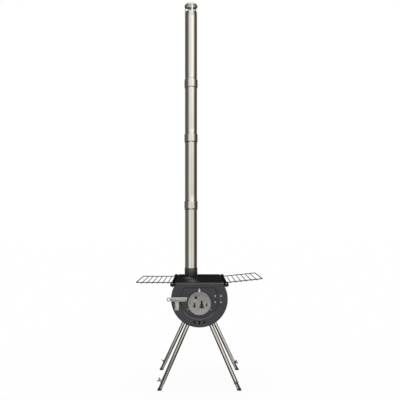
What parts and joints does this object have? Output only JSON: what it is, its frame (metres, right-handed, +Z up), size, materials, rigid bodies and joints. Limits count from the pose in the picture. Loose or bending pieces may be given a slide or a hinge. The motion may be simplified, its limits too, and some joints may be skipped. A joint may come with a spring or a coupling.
{
  "type": "tent wood stove",
  "caption": "Drum-shaped tent wood stove on splayed telescopic legs, with a flat cooking top, fold-up wire racks, an inset windowed door and a sectional stovepipe with a rain cap.",
  "frame": {"origin": "on the ground, below the middle of the drum and of the whole stove's outline", "axes": "+Z up along the stovepipe; the door faces -Y; +X is to the right seen from the door"},
  "size_m": [0.6041, 0.4212, 1.984],
  "materials": {
    "charcoal_sheet": "matt heat-proof paint",
    "black_sheet": "satin heat-proof paint",
    "black_plate": "semi-gloss heat-proof paint",
    "cast_black": "rough black",
    "brushed_steel": "fine brushed",
    "plated_steel": "bright plated",
    "polished_steel": "polished stainless",
    "leg_steel": "drawn stainless tube",
    "rack_wire": "dull drawn wire",
    "gasket": "woven heat-proof fibre",
    "window": "clear ceramic glass",
    "rubber": "matt"
  },
  "bodies": {
    "stove_body": {"barrel_shell": "black_sheet", "front_panel": "charcoal_sheet", "rear_panel": "charcoal_sheet", "top_plate": "black_plate", "flue_collar": "black_sheet", "fire_grate": "cast_black", "rack_bracket_left": "black_sheet", "rack_bracket_right": "black_sheet", "rack_rod_left": "black_sheet", "rack_rod_right": "black_sheet", "hinge_leaf_body": "charcoal_sheet", "hinge_pin": "charcoal_sheet", "body_hinge_rivets": "plated_steel", "latch_catch": "brushed_steel", "catch_rivet": "plated_steel", "leg_stud_front_left": "black_sheet", "leg_stud_front_right": "black_sheet", "leg_stud_rear_left": "black_sheet", "leg_stud_rear_right": "black_sheet", "leg_buttons": "black_sheet", "leg_tube_front_left": "leg_steel", "leg_tube_front_right": "leg_steel", "leg_tube_rear_left": "leg_steel", "leg_tube_rear_right": "leg_steel"},
    "door": {"door_panel": "charcoal_sheet", "hinge_leaf_door": "charcoal_sheet", "door_hinge_rivets": "plated_steel", "window_gasket": "gasket", "window_glass": "window", "window_cover": "brushed_steel", "window_clips": "plated_steel", "clip_screws": "plated_steel", "latch_pivot": "plated_steel"},
    "latch": {"latch_bar": "brushed_steel"},
    "left_rack": {"rack_left": "rack_wire"},
    "right_rack": {"rack_right": "rack_wire"},
    "leg_front_left": {"leg_extension_front_left": "leg_steel", "foot_front_left": "rubber"},
    "leg_front_right": {"leg_extension_front_right": "leg_steel", "foot_front_right": "rubber"},
    "leg_rear_left": {"leg_extension_rear_left": "leg_steel", "foot_rear_left": "rubber"},
    "leg_rear_right": {"leg_extension_rear_right": "leg_steel", "foot_rear_right": "rubber"},
    "clamp_front_left": {"wing_screw_front_left": "plated_steel"},
    "clamp_front_right": {"wing_screw_front_right": "plated_steel"},
    "clamp_rear_left": {"wing_screw_rear_left": "plated_steel"},
    "clamp_rear_right": {"wing_screw_rear_right": "plated_steel"},
    "pipe_1": {"pipe_section_1": "polished_steel"},
    "pipe_2": {"pipe_section_2": "polished_steel"},
    "pipe_3": {"pipe_section_3": "polished_steel"},
    "pipe_4": {"pipe_section_4": "polished_steel", "rain_cap": "polished_steel", "cap_straps": "polished_steel", "cap_rivets": "plated_steel"}
  },
  "joints": [
    {"name": "door_swing", "type": "hinge", "parent": "stove_body", "child": "door", "pos_m": [0.0887, -0.2088, 0.444], "axis": [0, 0, 1], "range_deg": [0, 135]},
    {"name": "latch_lift", "type": "hinge", "parent": "door", "child": "latch", "pos_m": [-0.068, -0.2099, 0.4435], "axis": [0, 1, 0], "range_deg": [0, 80]},
    {"name": "rack_left_fold", "type": "hinge", "parent": "stove_body", "child": "left_rack", "pos_m": [-0.128, 0, 0.5181], "axis": [0, 1, 0], "range_deg": [0, 95]},
    {"name": "rack_right_fold", "type": "hinge", "parent": "stove_body", "child": "right_rack", "pos_m": [0.128, 0, 0.5181], "axis": [0, -1, 0], "range_deg": [-6, 89]},
    {"name": "leg_front_left_slide", "type": "slide", "parent": "stove_body", "child": "leg_front_left", "axis": [-0.3987, 0, -0.9171], "range_m": [-0.018, 0.15]},
    {"name": "leg_front_right_slide", "type": "slide", "parent": "stove_body", "child": "leg_front_right", "axis": [0.3987, 0, -0.9171], "range_m": [-0.018, 0.15]},
    {"name": "leg_rear_left_slide", "type": "slide", "parent": "stove_body", "child": "leg_rear_left", "axis": [-0.4258, 0, -0.9048], "range_m": [-0.018, 0.15]},
    {"name": "leg_rear_right_slide", "type": "slide", "parent": "stove_body", "child": "leg_rear_right", "axis": [0.4258, 0, -0.9048], "range_m": [-0.018, 0.15]},
    {"name": "clamp_front_left_turn", "type": "hinge", "parent": "stove_body", "child": "clamp_front_left", "pos_m": [-0.17511, -0.169, 0.04127], "axis": [-0.9171, 0, 0.3987], "continuous": true},
    {"name": "clamp_front_right_turn", "type": "hinge", "parent": "stove_body", "child": "clamp_front_right", "pos_m": [0.17511, -0.169, 0.04127], "axis": [0, -1, 0], "continuous": true},
    {"name": "clamp_rear_left_turn", "type": "hinge", "parent": "stove_body", "child": "clamp_rear_left", "pos_m": [-0.18977, 0.169, 0.04072], "axis": [-0.4928, 0.8387, 0.2319], "continuous": true},
    {"name": "clamp_rear_right_turn", "type": "hinge", "parent": "stove_body", "child": "clamp_rear_right", "pos_m": [0.18977, 0.169, 0.04072], "axis": [0.6931, -0.6428, 0.3262], "continuous": true},
    {"name": "pipe_1_lift", "type": "slide", "parent": "stove_body", "child": "pipe_1", "axis": [0, 0, 1], "range_m": [0, 0.05]},
    {"name": "pipe_2_lift", "type": "slide", "parent": "pipe_1", "child": "pipe_2", "axis": [0, 0, 1], "range_m": [0, 0.05]},
    {"name": "pipe_3_lift", "type": "slide", "parent": "pipe_2", "child": "pipe_3", "axis": [0, 0, 1], "range_m": [0, 0.05]},
    {"name": "pipe_4_lift", "type": "slide", "parent": "pipe_3", "child": "pipe_4", "axis": [0, 0, 1], "range_m": [0, 0.05]}
  ]
}
